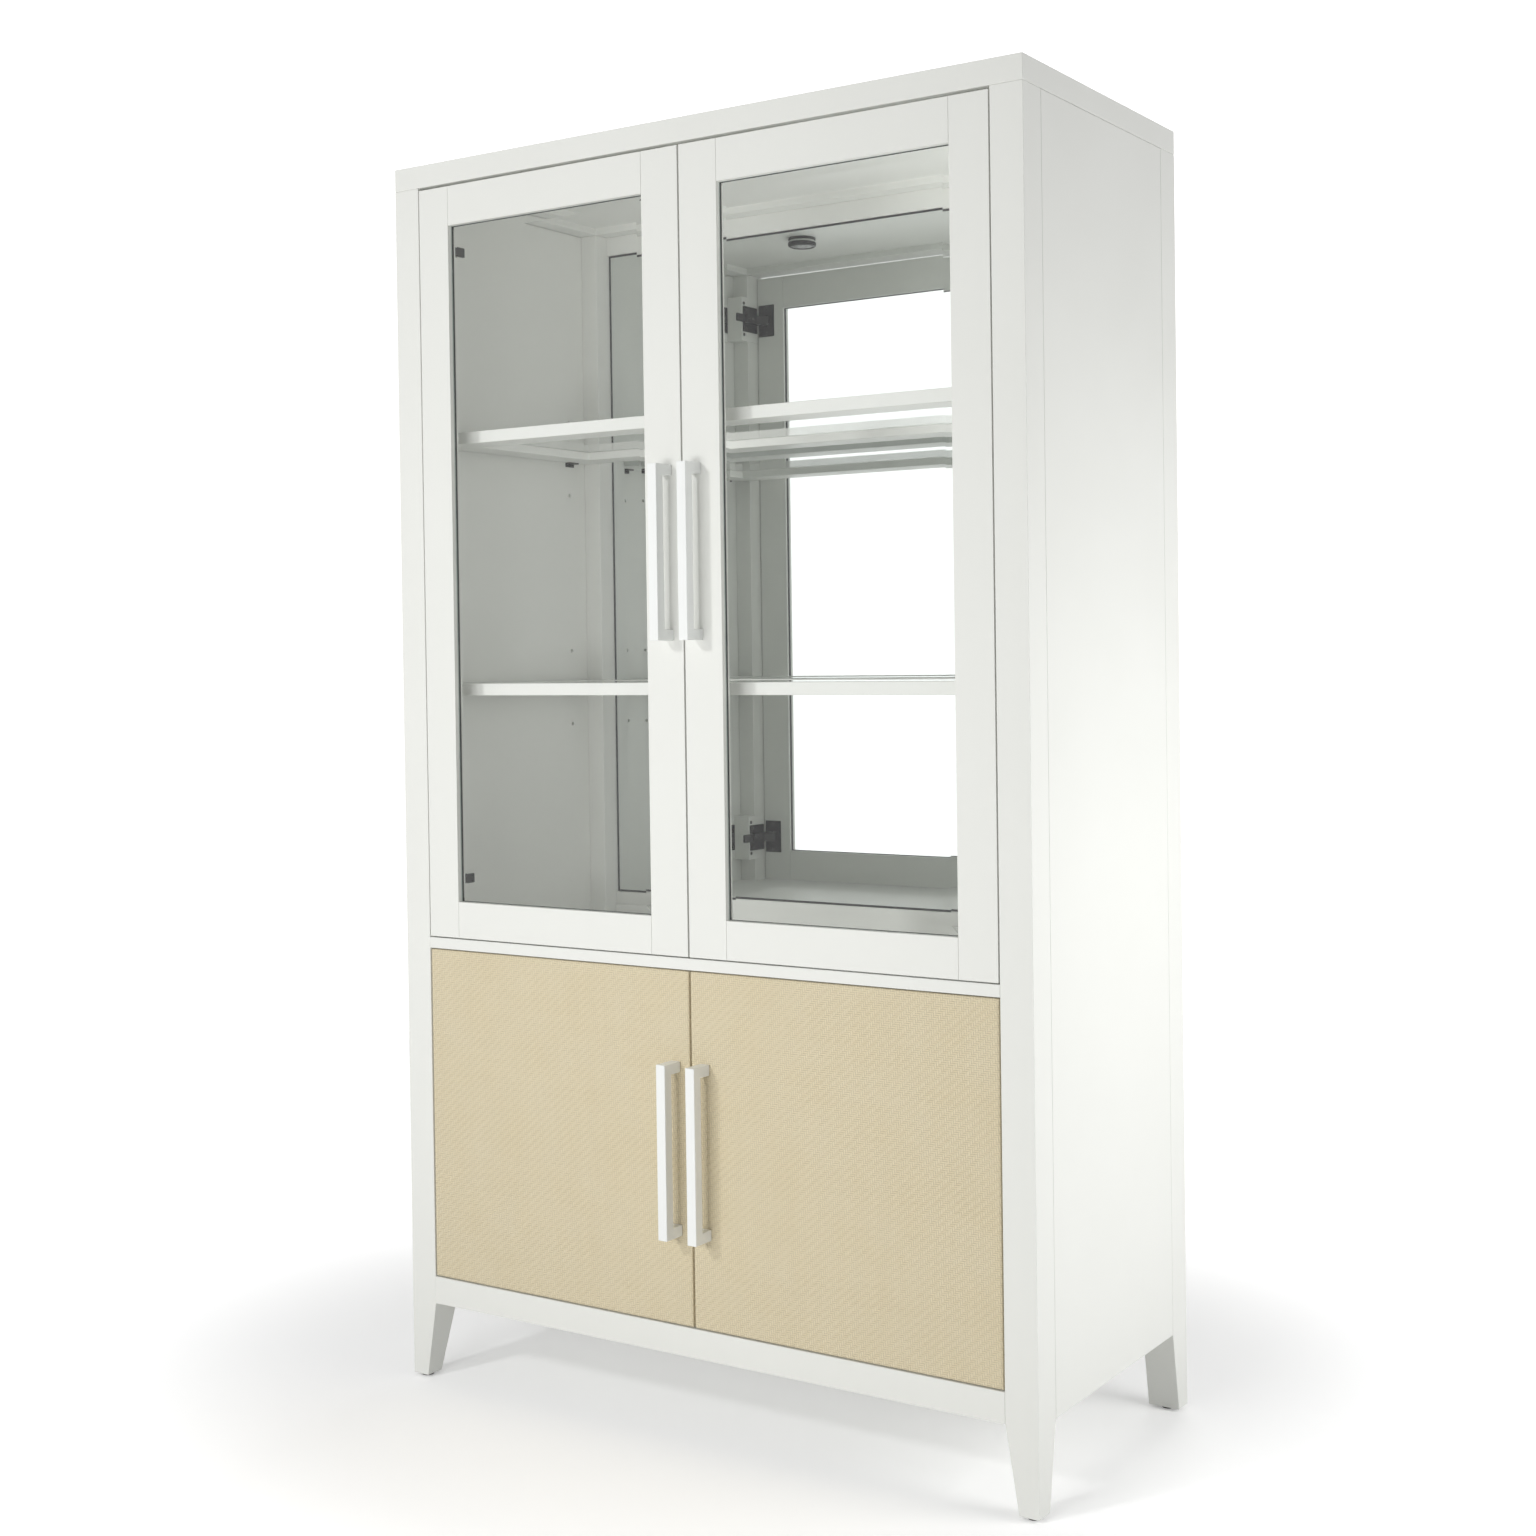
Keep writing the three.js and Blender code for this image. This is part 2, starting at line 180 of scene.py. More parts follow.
floor_mesh = bpy.data.meshes.new("studio_floor")
floor_turns = [2 * math.pi * step / floor_sides for step in range(floor_sides)]
floor_mesh.from_pydata(
    [(floor_reach * math.cos(turn), floor_reach * math.sin(turn), 0) for turn in floor_turns],
    [], [tuple(range(floor_sides))],
)
studio_floor = bpy.data.objects.new("studio_floor", floor_mesh)
bpy.context.scene.collection.objects.link(studio_floor)
floor_paper, floor_tree, floor_shader = new_material(
    "floor_paper", Base_Color=(0.9, 0.9, 0.9, 1), Roughness=0.9, Emission_Color=(1, 1, 1, 1))
floor_ray = node(floor_tree, "ShaderNodeLightPath")
floor_where = node(floor_tree, "ShaderNodeTexCoord")
floor_spot = node(floor_tree, "ShaderNodeVectorMath", {
    0: floor_where.outputs["Object"], 1: painted_shadow_reach}, operation="DIVIDE")
floor_far = node(floor_tree, "ShaderNodeVectorMath", {0: floor_spot.outputs[0]}, operation="LENGTH")
# Painted shadow: the glow is least near the cabinet and rises outward.
floor_glow = node(floor_tree, "ShaderNodeMapRange", {
    "Value": floor_far.outputs["Value"], "From Min": 0.7, "From Max": 1.6,
    "To Min": glow_in_painted_shadow, "To Max": glow_beyond}, interpolation_type="SMOOTHSTEP")
floor_direct = calc(floor_tree, "SUBTRACT", 1.0, floor_ray.outputs["Is Diffuse Ray"])
painted_floor_glow = calc(floor_tree, "MULTIPLY", floor_direct, floor_glow.outputs[0])
floor_tree.links.new(painted_floor_glow, floor_shader.inputs["Emission Strength"])
floor_mesh.materials.append(floor_paper)

# ---------------------------------------------------------------- crown
# The crown is one thick board with eased edges, sprayed in a satin off-white lacquer over
# filled hardwood. Its underside is hollowed a little, and that hollow is the ceiling.


def new_group(name, kind, takes, gives):
    """A node group with named sockets, and its two end nodes."""
    group = bpy.data.node_groups.new(name, kind)
    for label, socket_kind in takes:
        group.interface.new_socket(label, in_out="INPUT", socket_type=socket_kind)
    for label, socket_kind in gives:
        group.interface.new_socket(label, in_out="OUTPUT", socket_type=socket_kind)
    return group, group.nodes.new("NodeGroupInput"), group.nodes.new("NodeGroupOutput")


def mix(tree, factor, a, b, kind="FLOAT"):
    """A mix node's output, with sockets chosen by the kind of value."""
    first = {"FLOAT": 2, "RGBA": 6}[kind]
    made = node(tree, "ShaderNodeMix", {0: factor, first: a, first + 1: b}, data_type=kind)
    return made.outputs[{"FLOAT": 0, "RGBA": 2}[kind]]


# Sprayed lacquer: fine orange peel, the grain of the wood showing faintly through, and a
# cloudy change of tone over a hand's breadth.
lacquer_group, lacquer_in, lacquer_out = new_group(
    "sprayed_lacquer", "ShaderNodeTree",
    [("Place", "NodeSocketVector"), ("Colour", "NodeSocketColor"), ("Shade", "NodeSocketColor"),
     ("Peel", "NodeSocketFloat"), ("Grain", "NodeSocketFloat")],
    [("Colour", "NodeSocketColor"), ("Roughness", "NodeSocketFloat"),
     ("Height", "NodeSocketFloat")],
)
spot = lacquer_in.outputs["Place"]
clouds = node(lacquer_group, "ShaderNodeTexNoise", {"Vector": spot, "Scale": 5, "Detail": 3})
peel = node(lacquer_group, "ShaderNodeTexNoise", {"Vector": spot, "Scale": 900, "Detail": 2})
stretch = node(lacquer_group, "ShaderNodeMapping", {"Vector": spot, "Scale": (1, 1, 0.04)})
grain = node(lacquer_group, "ShaderNodeTexNoise", {
    "Vector": stretch.outputs[0], "Scale": 520, "Detail": 4, "Roughness": 0.6})
tone = mix(lacquer_group, clouds.outputs["Fac"], lacquer_in.outputs["Colour"],
           lacquer_in.outputs["Shade"], "RGBA")
sheen = node(lacquer_group, "ShaderNodeMapRange", {
    "Value": clouds.outputs["Fac"], "From Min": 0.3, "From Max": 0.7,
    "To Min": 0.38, "To Max": 0.48})
peel_height = calc(lacquer_group, "MULTIPLY", peel.outputs["Fac"], lacquer_in.outputs["Peel"])
height = calc(lacquer_group, "MULTIPLY_ADD", grain.outputs["Fac"], lacquer_in.outputs["Grain"],
              peel_height)
lacquer_group.links.new(tone, lacquer_out.inputs["Colour"])
lacquer_group.links.new(sheen.outputs[0], lacquer_out.inputs["Roughness"])
lacquer_group.links.new(height, lacquer_out.inputs["Height"])


def lacquer(name, turn):
    """Off-white lacquer over wood whose grain runs along Z once it is turned."""
    material, tree, shader = new_material(name, IOR=1.48, Coat_Weight=0.08, Coat_Roughness=0.25)
    where = node(tree, "ShaderNodeTexCoord")
    turned = node(tree, "ShaderNodeMapping", {"Vector": where.outputs["Object"], "Rotation": turn})
    paint = node(tree, "ShaderNodeGroup", {
        "Place": turned.outputs[0], "Colour": (0.815, 0.822, 0.785, 1),
        "Shade": (0.795, 0.802, 0.763, 1), "Peel": 0.35, "Grain": 0.8}, node_tree=lacquer_group)
    bump = node(tree, "ShaderNodeBump", {
        "Height": paint.outputs["Height"], "Strength": 0.12, "Distance": 0.0004})
    tree.links.new(paint.outputs["Colour"], shader.inputs["Base Color"])
    tree.links.new(paint.outputs["Roughness"], shader.inputs["Roughness"])
    tree.links.new(bump.outputs[0], shader.inputs["Normal"])
    return material


upright_lacquer = lacquer("lacquer_on_upright_grain", (0, 0, 0))
level_lacquer = lacquer("lacquer_on_level_grain", (0, math.pi / 2, 0))

sharp_edge = math.radians(30)
flat_seam = math.radians(1)
weld = 0.01 * MM


def body_of(cad_node):
    """The body that a CAD node rides on."""
    return frame["nodes"][cad_node]["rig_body"]


def mesh_from(work, name):
    """A mesh from finished bmesh work."""
    mesh = bpy.data.meshes.new(name)
    work.to_mesh(mesh)
    work.free()
    return mesh


def link_piece(name, mesh, finish):
    """A new piece from a finished mesh, shaded smooth, with one material."""
    mesh.materials.clear()
    mesh.materials.append(finish)
    mesh.polygons.foreach_set("use_smooth", [True] * len(mesh.polygons))
    piece = bpy.data.objects.new(name, mesh)
    bpy.context.scene.collection.objects.link(piece)
    return piece


def ease(piece, width, segments=2):
    """Rounds every real edge of a piece by a small amount."""
    rounded = piece.modifiers.new("eased_edges", "BEVEL")
    rounded.width = width
    rounded.segments = segments
    rounded.limit_method = "ANGLE"
    rounded.angle_limit = sharp_edge
    rounded.harden_normals = True


def eased_copy(cad_node, width, finish, segments=2, joint=0.0):
    """A copy of a CAD node with eased edges, a hair short at both ends if it meets a joint."""
    work = bmesh.new()
    work.from_mesh(frame["nodes"][cad_node].data)
    bmesh.ops.remove_doubles(work, verts=work.verts, dist=weld)
    bmesh.ops.dissolve_limit(work, angle_limit=flat_seam, verts=work.verts, edges=work.edges)
    mesh = mesh_from(work, cad_node)
    if "custom_normal" in mesh.attributes:
        mesh.attributes.remove(mesh.attributes["custom_normal"])
    middle = sum(corner.co.x for corner in mesh.vertices) / len(mesh.vertices)
    for corner in mesh.vertices:
        corner.co.x += joint if corner.co.x < middle else -joint
    piece = link_piece(f"{cad_node}_finished", mesh, finish)
    ease(piece, width, segments)
    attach(piece, body_of(cad_node))
    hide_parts(cad_node)
    return piece


crown_ease = 1.4 * MM
eased_copy("top_panel", crown_ease, level_lacquer, segments=3)

# ---------------------------------------------------------------- posts, apron, back and floors
# Square hardwood posts run from the crown to the floor and taper into legs below the apron.
# The apron, the boards and the back are let in between them, each with a crisp eased edge.

post_ease = 1.3 * MM
board_ease = 0.7 * MM

for end in ("front", "rear"):
    for side in ("left", "right"):
        eased_copy(f"{end}_{side}_post", post_ease, upright_lacquer, segments=3)
for board in ("front_apron", "display_floor", "base_floor", "back_top_rail", "back_bottom_rail"):
    eased_copy(board, board_ease, level_lacquer)
eased_copy("back_panel", board_ease, upright_lacquer)

# ---------------------------------------------------------------- screws
# Small pan-head screws with a cross recess, nickel plated. They hold the back panel on, and
# the hinges and their packing blocks to the wood.


def plated(name, color, roughness, scratch, metallic=1.0):
    """Plating or enamel with fine scratches and a cloudy change of gloss."""
    material, tree, shader = new_material(name, Base_Color=color, Metallic=metallic)
    where = node(tree, "ShaderNodeTexCoord")
    clouds = node(tree, "ShaderNodeTexNoise", {
        "Vector": where.outputs["Object"], "Scale": 160, "Detail": 4})
    gloss = node(tree, "ShaderNodeMapRange", {
        "Value": clouds.outputs["Fac"], "From Min": 0.3, "From Max": 0.7,
        "To Min": roughness * 0.8, "To Max": roughness * 1.25})
    marks = node(tree, "ShaderNodeTexNoise", {
        "Vector": where.outputs["Object"], "Scale": 2600, "Detail": 2})
    bump = node(tree, "ShaderNodeBump", {
        "Height": marks.outputs["Fac"], "Strength": scratch, "Distance": 0.0001})
    tree.links.new(gloss.outputs[0], shader.inputs["Roughness"])
    tree.links.new(bump.outputs[0], shader.inputs["Normal"])
    return material


nickel_plate = plated("nickel_plate", (0.11, 0.11, 0.105, 1), 0.3, 0.25)

scatter_group, scatter_in, scatter_out = new_group(
    "copies_at_points", "GeometryNodeTree",
    [("Points", "NodeSocketGeometry"), ("Item", "NodeSocketObject"), ("Turn", "NodeSocketVector"),
     ("Spin", "NodeSocketFloat"), ("Seed", "NodeSocketInt"), ("Finish", "NodeSocketMaterial")],
    [("Geometry", "NodeSocketGeometry")],
)
item = node(scatter_group, "GeometryNodeObjectInfo", {"Object": scatter_in.outputs["Item"]})
copies = node(scatter_group, "GeometryNodeInstanceOnPoints", {
    "Points": scatter_in.outputs["Points"], "Instance": item.outputs["Geometry"],
    "Rotation": scatter_in.outputs["Turn"]})
angle = node(scatter_group, "FunctionNodeRandomValue", {
    3: scatter_in.outputs["Spin"], "Seed": scatter_in.outputs["Seed"]}, data_type="FLOAT")
spin = node(scatter_group, "ShaderNodeCombineXYZ", {"Z": angle.outputs[1]})
spun = node(scatter_group, "GeometryNodeRotateInstances", {
    "Instances": copies.outputs[0], "Rotation": spin.outputs[0]})
real = node(scatter_group, "GeometryNodeRealizeInstances", {0: spun.outputs[0]})
finished = node(scatter_group, "GeometryNodeSetMaterial", {
    "Geometry": real.outputs[0], "Material": scatter_in.outputs["Finish"]})
scatter_group.links.new(finished.outputs[0], scatter_out.inputs[0])


def set_input(modifier, label, value):
    """Sets a geometry nodes input through its socket's identifier."""
    for socket in modifier.node_group.interface.items_tree:
        if socket.item_type == "SOCKET" and socket.in_out == "INPUT" and socket.name == label:
            modifier[socket.identifier] = value


def bake_modifiers(piece):
    """Turns the evaluated shape into a plain mesh."""
    graph = bpy.context.evaluated_depsgraph_get()
    graph.update()
    mesh = bpy.data.meshes.new_from_object(piece.evaluated_get(graph))
    piece.modifiers.clear()
    piece.data = mesh


def copies_at(name, points, item, turn, finish, spin=0.0):
    """One mesh that holds a copy of the item at each point."""
    mesh = bpy.data.meshes.new(name)
    mesh.from_pydata([tuple(p) for p in points], [], [])
    piece = bpy.data.objects.new(name, mesh)
    bpy.context.scene.collection.objects.link(piece)
    modifier = piece.modifiers.new("copies", "NODES")
    modifier.node_group = scatter_group
    set_input(modifier, "Item", item)
    set_input(modifier, "Turn", turn)
    set_input(modifier, "Spin", spin)
    set_input(modifier, "Seed", len(points))
    set_input(modifier, "Finish", finish)
    bake_modifiers(piece)
    return piece


def turned_item(name, profile, steps, recess=None):
    """A shape turned about Z from (radius, height) pairs. The first and last radius are 0."""
    work = bmesh.new()
    rings = []
    for radius, rise in profile:
        if radius == 0:
            rings.append([work.verts.new((0, 0, rise))])
            continue
        ring = []
        for step in range(steps):
            around = 2 * math.pi * step / steps
            drop = recess(radius, step) if recess else 0
            ring.append(work.verts.new((
                radius * math.cos(around), radius * math.sin(around), rise - drop)))
        rings.append(ring)
    for lower, upper in zip(rings, rings[1:]):
        for step in range(steps):
            corners = [
                lower[step % len(lower)], lower[(step + 1) % len(lower)],
                upper[(step + 1) % len(upper)], upper[step % len(upper)],
            ]
            work.faces.new(list(dict.fromkeys(corners)))
    bmesh.ops.recalc_face_normals(work, faces=work.faces)
    mesh = mesh_from(work, name)
    mesh.polygons.foreach_set("use_smooth", [True] * len(mesh.polygons))
    return bpy.data.objects.new(name, mesh)


screw_radius = 3.4 * MM
screw_rise = 1.6 * MM
screw_sunk = 0.4 * MM
screw_sides = 16
recess_depth = 0.9 * MM


def cross_recess(radius, step):
    """Sinks the inner rings of a screw head on the four arms of the cross."""
    on_arm = step % (screw_sides // 4) == 0
    return recess_depth if on_arm and radius < screw_radius * 0.7 else 0


screw_head = turned_item("screw_head", [
    (0, -screw_sunk), (screw_radius, -screw_sunk), (screw_radius, screw_rise * 0.35),
    (screw_radius * 0.86, screw_rise * 0.75), (screw_radius * 0.62, screw_rise),
    (screw_radius * 0.3, screw_rise), (0, screw_rise * 0.45)], screw_sides, cross_recess)

FACE_RIGHT = (0, math.pi / 2, 0)
FACE_LEFT = (0, -math.pi / 2, 0)
FACE_BACK = (-math.pi / 2, 0, 0)


def screws(name, points, turn, body):
    """Screws at the points given, on one body."""
    piece = copies_at(name, points, screw_head, turn, nickel_plate, spin=math.pi)
    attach(piece, body)


def spaced(low, high, count):
    """Evenly spaced numbers from low to high."""
    return [low + (high - low) * i / (count - 1) for i in range(count)]


back_screw_inset = 12 * MM
back_screws_up = 12
back_screws_across = 8

back_low, back_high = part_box("back_panel")
back_left, back_right = back_low.x + back_screw_inset, back_high.x - back_screw_inset
back_foot, back_head = back_low.z + back_screw_inset, back_high.z - back_screw_inset
back_points = [
    (x, back_high.y, z)
    for x in (back_left, back_right)
    for z in spaced(back_foot, back_head, back_screws_up)
] + [
    (x, back_high.y, z)
    for z in (back_foot, back_head)
    for x in spaced(back_left, back_right, back_screws_across)[1:-1]
]
screws("back_panel_screws", back_points, FACE_BACK, "carcass")

# ---------------------------------------------------------------- side panels and shelf supports
# Each side is one flat lacquered board between the posts. Two rows of drilled holes inside
# take push-in shelf supports, and each shelf rests on four of them.


def add_box(work, low, high):
    """Adds a box between two corners."""
    for corner in bmesh.ops.create_cube(work, size=1)["verts"]:
        corner.co = [low[i] if corner.co[i] < 0 else high[i] for i in range(3)]


def block(name, low, high, finish):
    """A plain board between two corners."""
    work = bmesh.new()
    add_box(work, low, high)
    return link_piece(name, mesh_from(work, name), finish)


pin_hole_radius = 2.9 * MM
pin_hole_depth = 9 * MM
pin_hole_offsets = (-60 * MM, 75 * MM)
pin_row_inset = 43 * MM
side_joint = 0.35 * MM
support_length = 13 * MM
support_width = 22 * MM
support_thickness = 2.6 * MM
web_drop = 7 * MM
web_half = 2 * MM
flange_drop = 8 * MM
flange_thickness = 1.4 * MM
pin_hole_cutter = turned_item("pin_hole_cutter", [
    (0, -pin_hole_depth), (pin_hole_radius, -pin_hole_depth), (pin_hole_radius, pin_hole_depth),
    (0, pin_hole_depth)], 16)


def support_item():
    """A shelf support lying along Z: its flat tab, the web under it and the wall flange."""
    half = support_width / 2
    work = bmesh.new()
    add_box(work, (-support_thickness, -half, 0), (0, half, support_length))
    add_box(work, (-web_drop, -web_half, 0), (-support_thickness, web_half, support_length * 0.7))
    add_box(work, (-flange_drop, -half, 0), (0, half, flange_thickness))
    return bpy.data.objects.new("shelf_support", mesh_from(work, "shelf_support"))


shelf_support = support_item()
shelves = ("lower_shelf_frame", "upper_shelf_frame")
wall_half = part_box("base_floor")[1].x
left_support_turn = (0, -math.pi / 2, math.pi)

for side, sign, turn, support_turn in (
    ("left", -1, FACE_RIGHT, left_support_turn), ("right", 1, FACE_LEFT, FACE_LEFT),
):
    panel_node = f"{side}_side_panel"
    low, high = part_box(panel_node)
    inner, outer = sign * wall_half, (high.x if sign > 0 else low.x)
    panel = block(f"{side}_side_board", (min(inner, outer), low.y + side_joint, low.z),
                  (max(inner, outer), high.y - side_joint, high.z - side_joint), upright_lacquer)
    rows = (low.y + pin_row_inset, high.y - pin_row_inset)
    heights = [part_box(shelf)[0].z for shelf in shelves]
    holes = [
        (inner, y, z + offset)
        for y in rows for z in heights for offset in pin_hole_offsets
    ]
    cutter = copies_at(f"{side}_cutter", holes, pin_hole_cutter, turn, upright_lacquer)
    bored = panel.modifiers.new("pin_holes", "BOOLEAN")
    bored.operation = "DIFFERENCE"
    bored.object = cutter
    bored.solver = "EXACT"
    bake_modifiers(panel)
    bpy.data.objects.remove(cutter)
    ease(panel, post_ease)
    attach(panel, "carcass")
    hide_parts(panel_node)
    seats = [(inner, y, z) for y in rows for z in heights]
    supports = copies_at(f"{side}_shelf_supports", seats, shelf_support, support_turn, nickel_plate)
    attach(supports, "carcass")

# ---------------------------------------------------------------- mirror
# A single sheet of silvered glass lies against the back panel between the two back rails.
# A narrow near-black strip round it is painted shadow for the gap at its edge; the silvering has a
# faint haze.

# The strip round the mirror is painted shadow: a near-black band laid where the gap at the mirror's
# edge falls in shade.
mirror_ease = 0.8 * MM
edging_width = 3.6 * MM
edging_rise = 0.5 * MM
edging_lap = 0.2 * MM

mirror_silver, mirror_tree, mirror_shader = new_material("mirror_silver", Metallic=1.0)
mirror_where = node(mirror_tree, "ShaderNodeTexCoord")
haze = node(mirror_tree, "ShaderNodeTexNoise", {
    "Vector": mirror_where.outputs["Object"], "Scale": 7, "Detail": 3})
haze_gloss = node(mirror_tree, "ShaderNodeMapRange", {
    "Value": haze.outputs["Fac"], "From Min": 0.45, "From Max": 0.8, "To Min": 0.0, "To Max": 0.02})
silver = mix(mirror_tree, haze.outputs["Fac"],
             (0.84, 0.86, 0.85, 1), (0.81, 0.835, 0.825, 1), "RGBA")
mirror_tree.links.new(haze_gloss.outputs[0], mirror_shader.inputs["Roughness"])
mirror_tree.links.new(silver, mirror_shader.inputs["Base Color"])
eased_copy("mirror_panel", mirror_ease, mirror_silver)

# Near black: painted shadow on the strip round the mirror, and on the glazing seals the painted
# shade of the reveal behind each pane.
dark_seal_and_painted_shade, edging_tree, edging_shader = new_material("dark_seal_and_painted_shade", Roughness=0.55)
edging_where = node(edging_tree, "ShaderNodeTexCoord")
edging_grain = node(edging_tree, "ShaderNodeTexNoise", {
    "Vector": edging_where.outputs["Object"], "Scale": 700, "Detail": 3})
dark_seal_and_shade_tone = node(edging_tree, "ShaderNodeMapRange", {
    "Value": edging_grain.outputs["Fac"], "To Min": 0.03, "To Max": 0.075})
edging_bump = node(edging_tree, "ShaderNodeBump", {
    "Height": edging_grain.outputs["Fac"], "Strength": 0.3, "Distance": 0.0003})
edging_tree.links.new(dark_seal_and_shade_tone.outputs[0], edging_shader.inputs["Base Color"])
edging_tree.links.new(edging_bump.outputs[0], edging_shader.inputs["Normal"])


def mitred_ring(name, low, high, section, finish):
    """A strip round an upright rectangle. Its section is (inset, depth) pairs."""
    work = bmesh.new()
    corners = (
        (low.x, low.z, 1, 1), (high.x, low.z, -1, 1),
        (high.x, high.z, -1, -1), (low.x, high.z, 1, -1))
    loops = [
        [work.verts.new((x + inward * inset, depth, z + upward * inset))
         for inset, depth in section]
        for x, z, inward, upward in corners
    ]
    count = len(section)
    for here, there in zip(loops, loops[1:] + loops[:1]):
        for i in range(count):
            work.faces.new((here[i], here[(i + 1) % count], there[(i + 1) % count], there[i]))
    bmesh.ops.recalc_face_normals(work, faces=work.faces)
    return link_piece(name, mesh_from(work, name), finish)


# Painted shadow: a dark band on the mirror's face along the shaded gap at its edge.
mirror_low, mirror_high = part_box("mirror_panel")
edging_back, edging_front = mirror_low.y + edging_lap, mirror_low.y - edging_rise
edging = mitred_ring("mirror_edging", mirror_low, mirror_high, [
    (0, edging_back), (edging_width, edging_back), (edging_width, edging_front), (0, edging_front),
], dark_seal_and_painted_shade)
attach(edging, "carcass")

# ---------------------------------------------------------------- shelves
# Two loose shelves: a lacquered frame with a rebate that holds a sheet of clear glass. They
# lie on the supports and can be moved from one row of holes to another.


def clear_glass(name, tint):
    """Clear float glass with a trace of dust in its gloss."""
    material, tree, shader = new_material(
        name, Base_Color=tint, Transmission_Weight=1.0, IOR=1.33)
    where = node(tree, "ShaderNodeTexCoord")
    smears = node(tree, "ShaderNodeTexNoise", {
        "Vector": where.outputs["Object"], "Scale": 9, "Detail": 4, "Distortion": 0.6})
    gloss = node(tree, "ShaderNodeMapRange", {
        "Value": smears.outputs["Fac"], "From Min": 0.55, "From Max": 0.85,
        "To Min": 0.0, "To Max": 0.02})
    tree.links.new(gloss.outputs[0], shader.inputs["Roughness"])
    return material


pane_glass = clear_glass("pane_glass", (0.985, 0.995, 0.99, 1))
cut_edge, cut_tree, cut_shader = new_material("cut_glass_edge", Roughness=0.35)
cut_where = node(cut_tree, "ShaderNodeTexCoord")
cut_marks = node(cut_tree, "ShaderNodeTexNoise", {
    "Vector": cut_where.outputs["Object"], "Scale": 900, "Detail": 3})
cut_tone = mix(cut_tree, cut_marks.outputs["Fac"],
               (0.34, 0.40, 0.37, 1), (0.44, 0.50, 0.47, 1), "RGBA")
cut_tree.links.new(cut_tone, cut_shader.inputs["Base Color"])


def glass_sheet(cad_node, low, high, across, bevel_width, bevel_depth):
    """A sheet between two corners with a bevel on its first face, and ground edges."""
    flat = [axis for axis in range(3) if axis != across]
    work = bmesh.new()
    loops = []
    steps = ((bevel_width, low[across]), (0, low[across] + bevel_depth), (0, high[across]))
    for inset, level in steps:
        loop = []
        for ends in ((0, 0), (1, 0), (1, 1), (0, 1)):
            corner = [level, level, level]
            for axis, end in zip(flat, ends):
                corner[axis] = (low[axis] + inset, high[axis] - inset)[end]
            loop.append(work.verts.new(corner))
        loops.append(loop)
    work.faces.new(loops[0])
    work.faces.new(loops[-1])
    for near, far in zip(loops, loops[1:]):
        for step in range(4):
            work.faces.new((near[step], near[(step + 1) % 4], far[(step + 1) % 4], far[step]))
    bmesh.ops.recalc_face_normals(work, faces=work.faces)
    for face in work.faces:
        face.material_index = int(abs(face.normal[across]) < 0.3)
    mesh = mesh_from(work, cad_node)
    for finish in (pane_glass, cut_edge):
        mesh.materials.append(finish)
    sheet = bpy.data.objects.new(f"{cad_node}_finished", mesh)
    bpy.context.scene.collection.objects.link(sheet)
    sheet.visible_shadow = False
    sheet.visible_diffuse = False
    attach(sheet, body_of(cad_node))
    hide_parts(cad_node)


shelf_ease = 1.2 * MM
arris_width = 0.8 * MM
arris_depth = 0.8 * MM

for shelf in shelves:
    eased_copy(shelf, shelf_ease, level_lacquer)
    shelf_glass = shelf.replace("frame", "glass")
    glass_sheet(shelf_glass, *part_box(shelf_glass), 2, arris_width, arris_depth)

# ---------------------------------------------------------------- ceiling lights
# Two round surface lights under the ceiling: a dark enamelled foot and rim on a white
# collar, round a frosted lens with a ring of small domes where the diodes sit.

puck_metal = plated("puck_rim_enamel", (0.018, 0.018, 0.017, 1), 0.38, 0.2, metallic=0.0)
puck_lens, puck_tree, puck_shader = new_material("puck_lens", Roughness=0.35, IOR=1.49)
puck_where = node(puck_tree, "ShaderNodeTexCoord")
dimples = node(puck_tree, "ShaderNodeTexVoronoi", {
    "Vector": puck_where.outputs["Object"], "Scale": 420})
dimple_tone = node(puck_tree, "ShaderNodeMapRange", {
    "Value": dimples.outputs["Distance"], "To Min": 0.3, "To Max": 0.6})
dimple_bump = node(puck_tree, "ShaderNodeBump", {
    "Height": dimples.outputs["Distance"], "Strength": 0.4, "Distance": 0.0004})
puck_tree.links.new(dimple_tone.outputs[0], puck_shader.inputs["Base Color"])
puck_tree.links.new(dimple_bump.outputs[0], puck_shader.inputs["Normal"])

# Each section is (inset from the light's edge, rise above its lowest point) in millimetres,
# with None for a point on the axis.
rim_section = [
    (None, 8.5), (0.8, 8.5), (0, 7.7), (0, 4), (0.6, 3.5), (0, 3), (1.5, 1.2), (4, 0),
    (6.5, 0.8), (7, 2.5), (None, 2.5)]
foot_section = [(None, 17), (1, 17), (1, 13.1), (1.6, 12.5), (None, 12.5)]
collar_section = [(None, 12.8), (3, 12.8), (3, 8.2), (None, 8.2)]
lens_section = [(None, 3), (7.2, 3), (7.2, 1.6), (None, 1.2)]
diode_ring = 11 * MM
diode_count = 6
diode_rise = 1.3 * MM
diode_dome = turned_item("diode_dome", [
    (0, 0.6 * MM), (3.2 * MM, 0.6 * MM), (3.2 * MM, 0), (2.6 * MM, -1.1 * MM),
    (1.3 * MM, -1.8 * MM), (0, -2 * MM)], 12)


def light_part(name, low, high, section, steps, finish):
    """One turned part of a light, in the box that the light's CAD node fills."""
    centre = (low + high) / 2
    radius = (high.x - low.x) / 2
    part = turned_item(name, [
        (0 if inset is None else radius - inset * MM, low.z + rise * MM)
        for inset, rise in section], steps)
    part.data.materials.append(finish)
    part.data.transform(Matrix.Translation((centre.x, centre.y, 0)))
    bpy.context.scene.collection.objects.link(part)
    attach(part, "carcass")
    return part


